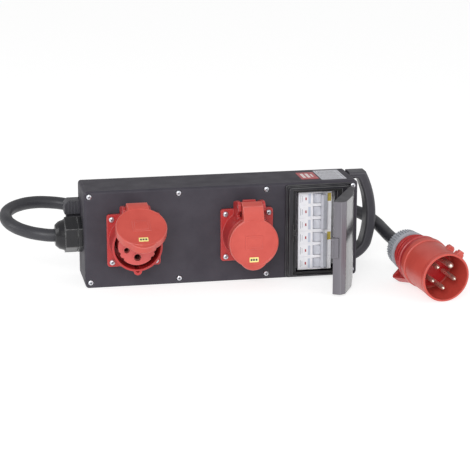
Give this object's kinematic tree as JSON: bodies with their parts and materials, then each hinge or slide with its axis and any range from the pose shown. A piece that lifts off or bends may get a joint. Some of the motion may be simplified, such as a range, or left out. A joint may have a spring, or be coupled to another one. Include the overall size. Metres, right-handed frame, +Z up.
{
  "type": "portable power distribution box",
  "caption": "Portable power distribution box: rubber enclosure with hinged-lid industrial sockets, breakers behind a smoked hinged window, carry handle and supply lead with plug.",
  "frame": {"origin": "centre of the enclosure's flat underside", "axes": "+X along the enclosure towards its handle, -Y towards the sockets and the window, +Z up"},
  "size_m": [0.5772, 0.3165, 0.1295],
  "materials": {
    "rubber": "satin, finely textured",
    "seal_rubber": "matt",
    "zinc_steel": "satin",
    "handle_plastic": "satin",
    "frame_plastic": "satin",
    "smoked_cover": "clear smoked, glossy",
    "breaker_white": "satin",
    "toggle_grey": "satin",
    "tag_yellow": "printed",
    "terminal_white": "satin",
    "gland_plastic": "satin",
    "cable_rubber": "matt",
    "socket_red": "satin",
    "insert_pink": "satin",
    "insert_red": "satin",
    "contact_metal": "nickel plated",
    "lid_red": "satin",
    "nut_grey": "satin",
    "label_red": "printed",
    "label_silver": "satin print"
  },
  "bodies": {
    "enclosure": {"rear_housing": "rubber", "front_cover": "rubber", "cover_gasket": "seal_rubber", "cover_screws": "zinc_steel", "carry_handle": "handle_plastic", "handle_screws": "zinc_steel", "cable_bracket": "handle_plastic", "window_frame": "frame_plastic", "window_seal": "seal_rubber", "window_hinge_pin": "zinc_steel", "din_rail": "zinc_steel", "rail_screws": "zinc_steel", "breaker_upper": "breaker_white", "breaker_lower": "breaker_white", "breaker_tags": "tag_yellow", "terminal_screws": "zinc_steel", "terminal_block": "terminal_white", "gland_body": "gland_plastic", "gland_locknut": "gland_plastic", "gland_seal": "seal_rubber", "gland_nut": "gland_plastic", "cable_tail": "cable_rubber", "supply_cable": "cable_rubber", "plug_housing": "socket_red", "plug_collar": "socket_red", "plug_insert": "insert_red", "plug_pins": "contact_metal", "plug_nut": "nut_grey", "plug_seal": "seal_rubber", "type_label": "label_red", "rating_label": "label_silver", "left_socket_housing": "socket_red", "left_contact_insert": "insert_pink", "left_contacts": "contact_metal", "left_flange_gasket": "seal_rubber", "left_flange_screws": "zinc_steel", "left_hinge_pin": "zinc_steel", "right_socket_housing": "socket_red", "right_contact_insert": "insert_pink", "right_contacts": "contact_metal", "right_flange_gasket": "seal_rubber", "right_flange_screws": "zinc_steel", "right_hinge_pin": "zinc_steel"},
    "left_lid_assembly": {"left_lid": "lid_red", "left_lid_seal": "seal_rubber", "left_lid_label": "tag_yellow"},
    "right_lid_assembly": {"right_lid": "lid_red", "right_lid_seal": "seal_rubber", "right_lid_label": "tag_yellow"},
    "window_cover_assembly": {"window_cover": "smoked_cover", "window_latch": "frame_plastic"},
    "upper_toggle": {"breaker_upper_toggle": "toggle_grey"},
    "lower_toggle": {"breaker_lower_toggle": "toggle_grey"}
  },
  "joints": [
    {"name": "left_lid_hinge", "type": "hinge", "parent": "enclosure", "child": "left_lid_assembly", "pos_m": [-0.119, -0.071, 0.1085], "axis": [-1, 0, 0], "range_deg": [-57, 48]},
    {"name": "right_lid_hinge", "type": "hinge", "parent": "enclosure", "child": "right_lid_assembly", "pos_m": [0.031, -0.071, 0.1085], "axis": [-1, 0, 0], "range_deg": [0, 105]},
    {"name": "window_cover_hinge", "type": "hinge", "parent": "enclosure", "child": "window_cover_assembly", "pos_m": [0.17, -0.0525, 0.064], "axis": [0, 0, 1], "range_deg": [-62, 38]},
    {"name": "upper_toggle_hinge", "type": "hinge", "parent": "enclosure", "child": "upper_toggle", "pos_m": [0.13, -0.031, 0.08875], "axis": [0, 0, -1], "range_deg": [0, 60]},
    {"name": "lower_toggle_hinge", "type": "hinge", "parent": "enclosure", "child": "lower_toggle", "pos_m": [0.13, -0.031, 0.0356], "axis": [0, 0, -1], "range_deg": [0, 60]}
  ]
}
